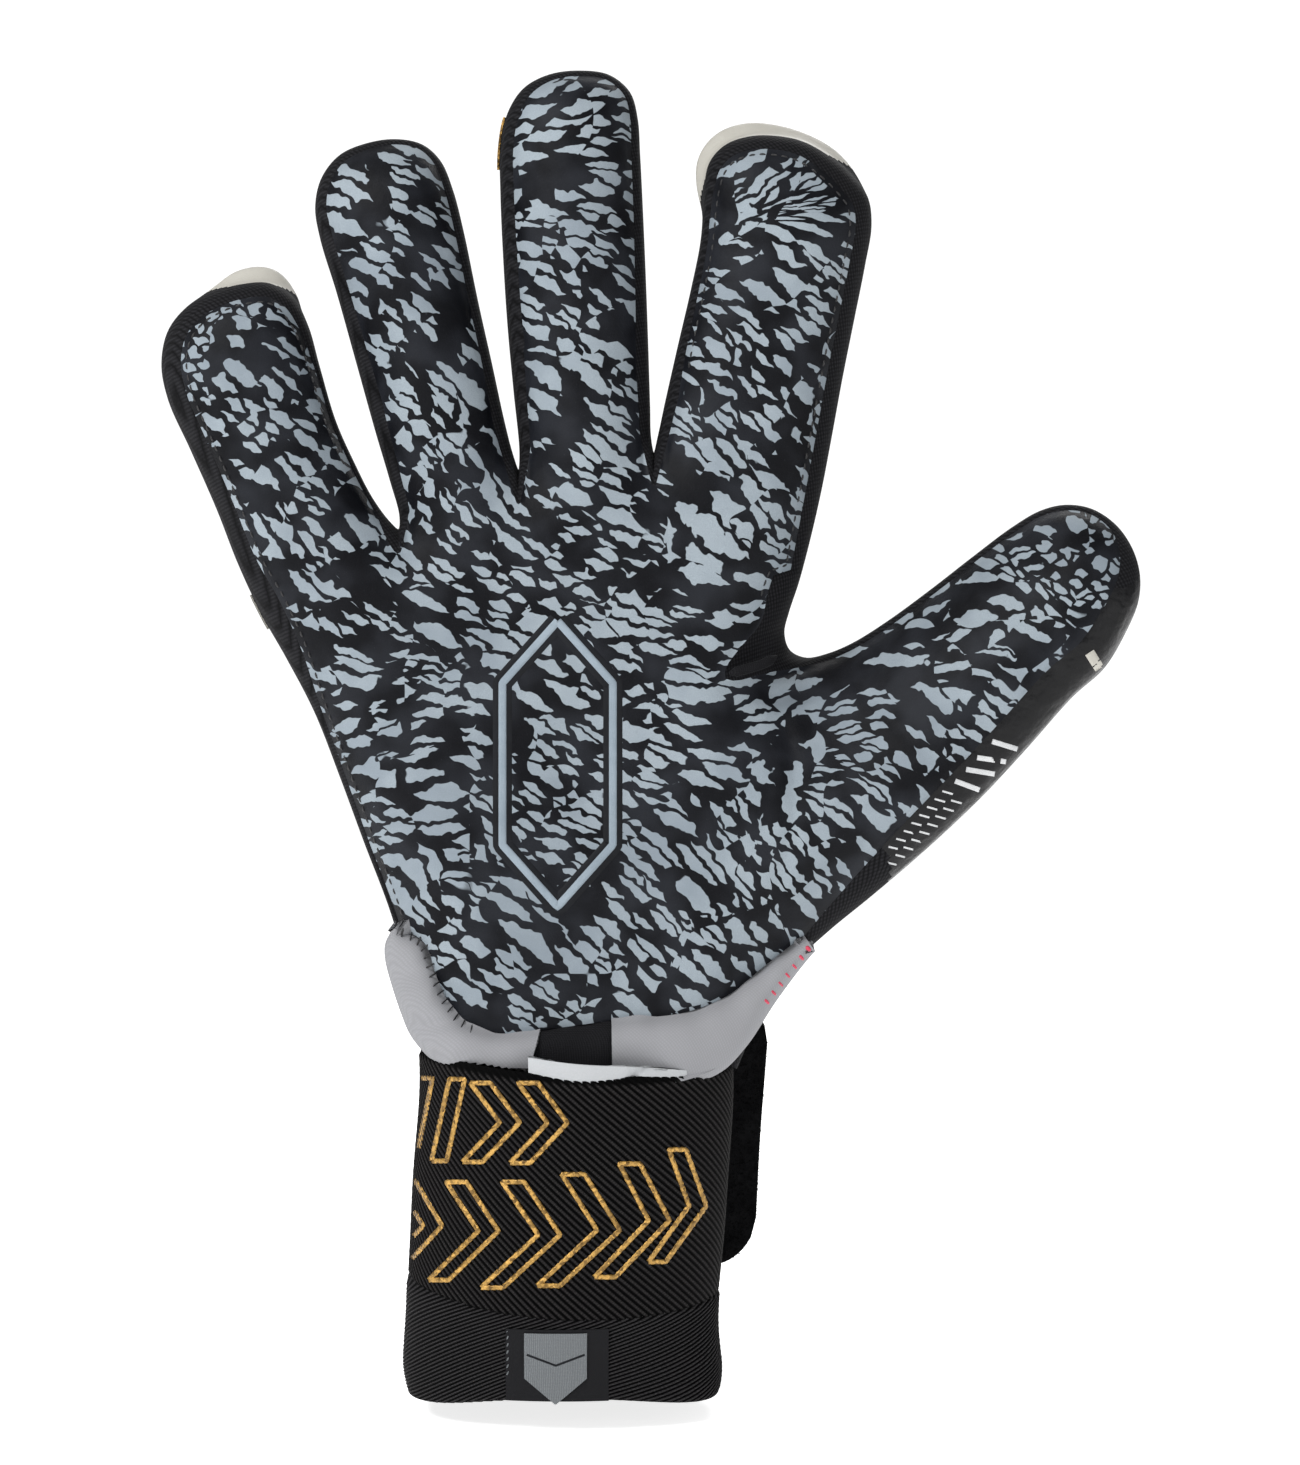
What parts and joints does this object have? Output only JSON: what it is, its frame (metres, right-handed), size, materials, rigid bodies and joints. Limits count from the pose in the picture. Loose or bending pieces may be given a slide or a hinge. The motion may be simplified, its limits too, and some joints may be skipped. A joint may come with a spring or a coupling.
{
  "type": "goalkeeper glove",
  "caption": "Right-hand goalkeeper glove, fingers spread, with a padded latex palm, ribbed cuff and wrist strap with a peel-open closure flap.",
  "frame": {"origin": "centre of the cuff's open end, in the plane of its hem", "axes": "+Z from the cuff towards the fingertips, +X towards the thumb side, palm facing -Y"},
  "size_m": [0.2064, 0.0537, 0.2795],
  "materials": {
    "badge_rubber": "moulded gold rubber badge",
    "elastic_black": "black ribbed elastic",
    "emblem_print": "raised printed outline",
    "foam": "cloth-faced foam backing",
    "heel_fabric_grey": "light grey padded mesh",
    "hook_tape": "black hook tape",
    "knit_black": "black ribbed gusset knit",
    "label_black": "blank black woven label",
    "label_grey": "grey woven mark on a label",
    "label_white": "blank white woven label",
    "latex_plain": "matte grip latex in one colour",
    "latex_print": "matte grip latex with a mottled two-tone print",
    "latex_white": "soft off-white latex on the back of a finger",
    "loop_pile": "black brushed loop pile",
    "neoprene_black": "smooth black neoprene",
    "strap_weave": "black diagonal-ribbed elastic webbing"
  },
  "bodies": {
    "hand": {"palm_latex": "latex_print", "palm_foam": "foam", "palm_emblem": "emblem_print", "backhand_panel": "neoprene_black", "knuckle_pad": "latex_plain", "little_side_gusset": "knit_black", "thumb_side_gusset": "knit_black", "thumb_web_gusset": "knit_black", "finger_webs": "knit_black", "heel_binding_left": "heel_fabric_grey", "heel_tab": "elastic_black", "heel_binding_right": "heel_fabric_grey", "care_label": "label_white", "cuff": "elastic_black", "wrist_strap": "strap_weave", "loop_patch": "loop_pile", "flap_seam_tape": "elastic_black", "cuff_label": "label_black", "cuff_label_print": "label_grey"},
    "little_base": {"little_base_front_panel": "latex_print", "little_base_gusset": "knit_black", "little_base_back_panel": "latex_white"},
    "little_tip": {"little_tip_front_panel": "latex_print", "little_tip_gusset": "knit_black", "little_tip_back_panel": "latex_white"},
    "ring_base": {"ring_base_front_panel": "latex_print", "ring_base_gusset": "knit_black", "ring_base_back_panel": "latex_white"},
    "ring_tip": {"ring_tip_front_panel": "latex_print", "ring_tip_gusset": "knit_black", "ring_tip_back_panel": "latex_white"},
    "middle_base": {"middle_base_front_panel": "latex_print", "middle_base_gusset": "knit_black", "middle_base_back_panel": "latex_white"},
    "middle_tip": {"middle_tip_front_panel": "latex_print", "middle_tip_gusset": "knit_black", "middle_tip_back_panel": "latex_white"},
    "index_base": {"index_base_front_panel": "latex_print", "index_base_gusset": "knit_black", "index_base_back_panel": "latex_white"},
    "index_tip": {"index_tip_front_panel": "latex_print", "index_tip_gusset": "knit_black", "index_tip_back_panel": "latex_white"},
    "thumb_base": {"thumb_base_front_panel": "latex_print", "thumb_base_gusset": "knit_black", "thumb_base_back_panel": "latex_plain"},
    "thumb_tip": {"thumb_tip_front_panel": "latex_print", "thumb_tip_gusset": "knit_black", "thumb_tip_back_panel": "latex_plain"},
    "closure_flap": {"closure_flap": "loop_pile", "hook_patch": "hook_tape", "flap_badge": "badge_rubber"}
  },
  "joints": [
    {"name": "little_knuckle_fold", "type": "hinge", "parent": "hand", "child": "little_base", "pos_m": [-0.05135, -0.013, 0.18009], "axis": [0.9421, 0, 0.3355], "range_deg": [0, 50], "stiffness_Nm_per_rad": 0.08},
    {"name": "little_middle_fold", "type": "hinge", "parent": "little_base", "child": "little_tip", "pos_m": [-0.06007, -0.013, 0.20459], "axis": [0.9421, 0, 0.3355], "range_deg": [0, 60], "stiffness_Nm_per_rad": 0.08},
    {"name": "ring_knuckle_fold", "type": "hinge", "parent": "hand", "child": "ring_base", "pos_m": [-0.02241, -0.013, 0.19367], "axis": [0.9711, 0, 0.2385], "range_deg": [0, 50], "stiffness_Nm_per_rad": 0.08},
    {"name": "ring_middle_fold", "type": "hinge", "parent": "ring_base", "child": "ring_tip", "pos_m": [-0.03028, -0.013, 0.22572], "axis": [0.9711, 0, 0.2385], "range_deg": [0, 60], "stiffness_Nm_per_rad": 0.08},
    {"name": "middle_knuckle_fold", "type": "hinge", "parent": "hand", "child": "middle_base", "pos_m": [0.00508, -0.013, 0.1998], "axis": [0.9996, 0, 0.0279], "range_deg": [0, 50], "stiffness_Nm_per_rad": 0.08},
    {"name": "middle_middle_fold", "type": "hinge", "parent": "middle_base", "child": "middle_tip", "pos_m": [0.00407, -0.013, 0.23578], "axis": [0.9996, 0, 0.0279], "range_deg": [0, 60], "stiffness_Nm_per_rad": 0.08},
    {"name": "index_knuckle_fold", "type": "hinge", "parent": "hand", "child": "index_base", "pos_m": [0.03814, -0.013, 0.19665], "axis": [0.9813, 0, -0.1925], "range_deg": [0, 50], "stiffness_Nm_per_rad": 0.08},
    {"name": "index_middle_fold", "type": "hinge", "parent": "index_base", "child": "index_tip", "pos_m": [0.04449, -0.013, 0.22903], "axis": [0.9813, 0, -0.1925], "range_deg": [0, 60], "stiffness_Nm_per_rad": 0.08},
    {"name": "thumb_knuckle_fold", "type": "hinge", "parent": "hand", "child": "thumb_base", "pos_m": [0.06284, -0.01143, 0.14316], "axis": [0.5503, -0.4028, -0.7314], "range_deg": [0, 35], "stiffness_Nm_per_rad": 0.12},
    {"name": "thumb_middle_fold", "type": "hinge", "parent": "thumb_base", "child": "thumb_tip", "pos_m": [0.08769, -0.01602, 0.16439], "axis": [0.5503, -0.4028, -0.7314], "range_deg": [0, 50], "stiffness_Nm_per_rad": 0.12},
    {"name": "closure_flap_peel", "type": "hinge", "parent": "hand", "child": "closure_flap", "pos_m": [-0.0242, 0.02033, 0.054], "axis": [0, 0, 1], "range_deg": [0, 150]}
  ]
}
